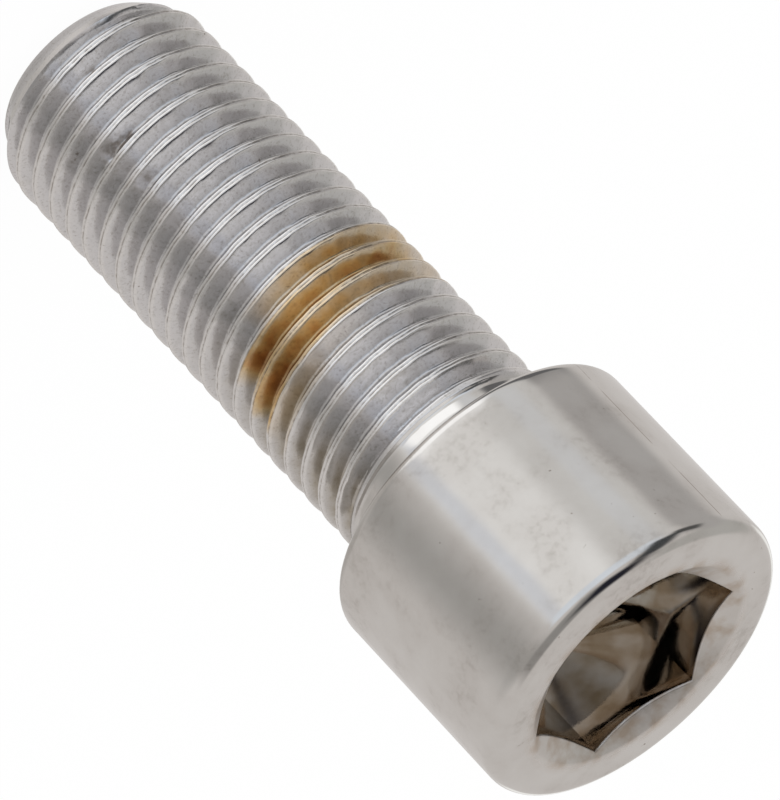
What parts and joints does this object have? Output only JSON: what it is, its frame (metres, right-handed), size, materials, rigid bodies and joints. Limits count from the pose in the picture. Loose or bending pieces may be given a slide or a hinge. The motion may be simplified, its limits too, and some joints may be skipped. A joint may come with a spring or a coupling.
{
  "type": "hex socket cap screw",
  "caption": "Cylindrical-head hex socket cap screw with a fine rolled thread, chrome plated, with an amber stain on part of the thread.",
  "frame": {"origin": "centre of the head's bearing face, on the screw's axis", "axes": "+Z along the screw from its point to its head, out of the hex socket; +X through a corner of the hexagon"},
  "size_m": [0.0134, 0.0134, 0.0343],
  "materials": {
    "chrome_plated_steel": "bright polished head, satin rolled thread, unplated dark socket"
  },
  "bodies": {
    "root": {"cap_screw": "chrome_plated_steel"}
  },
  "joints": []
}
